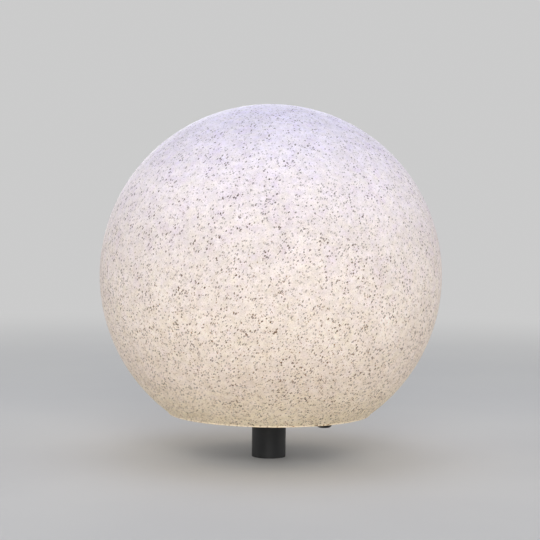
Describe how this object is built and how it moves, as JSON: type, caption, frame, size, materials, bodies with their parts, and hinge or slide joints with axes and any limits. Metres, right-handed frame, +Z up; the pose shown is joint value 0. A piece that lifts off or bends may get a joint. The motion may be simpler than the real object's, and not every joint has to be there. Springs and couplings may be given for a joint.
{
  "type": "garden globe light",
  "caption": "Speckled moulded globe lamp on a ground spike, with a bayonet neck, sealed base, cable gland and screw bulb.",
  "frame": {"origin": "on the lamp's axis at ground level, where the post enters the soil", "axes": "+Z up along the post, +X through the cable gland, -Y towards the viewer of the picture"},
  "size_m": [0.3999, 0.4, 0.622],
  "materials": {
    "globe_plastic": "speckled, slightly translucent moulded polyethylene",
    "neck_plastic": "fine matt",
    "black_plastic": "fine spark-eroded texture",
    "gland_plastic": "satin",
    "black_rubber": "matt",
    "screw_steel": "zinc plated",
    "white_insulation": "satin",
    "brass": "bright",
    "holder_plastic": "smooth moulded",
    "ceramic": "glazed",
    "lead_live_sheath": "soft",
    "lead_neutral_sheath": "soft",
    "cap_metal": "rolled nickel-plated",
    "solder": "dull",
    "cap_glass": "glossy",
    "bulb_plastic": "smooth",
    "diffuser_plastic": "opal",
    "board": "white lacquer",
    "driver_board_green": "green lacquer",
    "chip": "phosphor"
  },
  "bodies": {
    "spike": {"post_tube": "black_plastic", "ground_spike": "black_plastic"},
    "base": {"base_plate": "black_plastic", "base_gasket": "black_rubber", "wiring_cover": "black_plastic", "cover_screws": "screw_steel", "gland_washer": "black_rubber", "gland_body": "gland_plastic", "gland_nut": "gland_plastic", "gland_seal": "black_rubber", "gland_locknut": "gland_plastic", "terminal_block": "white_insulation", "terminal_tubes": "brass", "terminal_screws": "screw_steel", "strain_clamp": "white_insulation", "strain_screws": "screw_steel", "holder_nipple": "screw_steel", "nipple_nut": "screw_steel", "holder_dome": "holder_plastic", "holder_sleeve": "holder_plastic", "holder_base": "ceramic", "threaded_shell": "brass", "centre_contact": "brass", "side_contact": "brass", "lead_live": "lead_live_sheath", "lead_neutral": "lead_neutral_sheath"},
    "globe": {"globe_shell": "globe_plastic", "neck_gasket": "black_rubber", "neck_ring": "neck_plastic", "neck_screws": "screw_steel"},
    "bulb_tip": {"bulb_tip": "solder"},
    "bulb": {"bulb_insulator": "cap_glass", "bulb_cap": "cap_metal", "bulb_heatsink": "bulb_plastic", "led_board": "board", "led_chips": "chip", "driver_board": "driver_board_green", "bulb_diffuser": "diffuser_plastic"}
  },
  "joints": [
    {"name": "base_lift", "type": "slide", "parent": "spike", "child": "base", "axis": [0, 0, 1], "range_m": [0, 0.03]},
    {"name": "globe_twist", "type": "hinge", "parent": "base", "child": "globe", "pos_m": [0, 0, 0.068], "axis": [0, 0, 1], "range_deg": [0, 35]},
    {"name": "bulb_rise", "type": "slide", "parent": "base", "child": "bulb_tip", "axis": [0, 0, 1], "range_m": [0, 0.00909]},
    {"name": "bulb_turn", "type": "hinge", "parent": "bulb_tip", "child": "bulb", "pos_m": [0, 0, 0.1205], "axis": [0, 0, 1], "range_deg": [0, 900]}
  ],
  "couplings": [
    {"joint": "bulb_rise", "follows": "bulb_turn", "m_per_rad": 0.00057757}
  ]
}
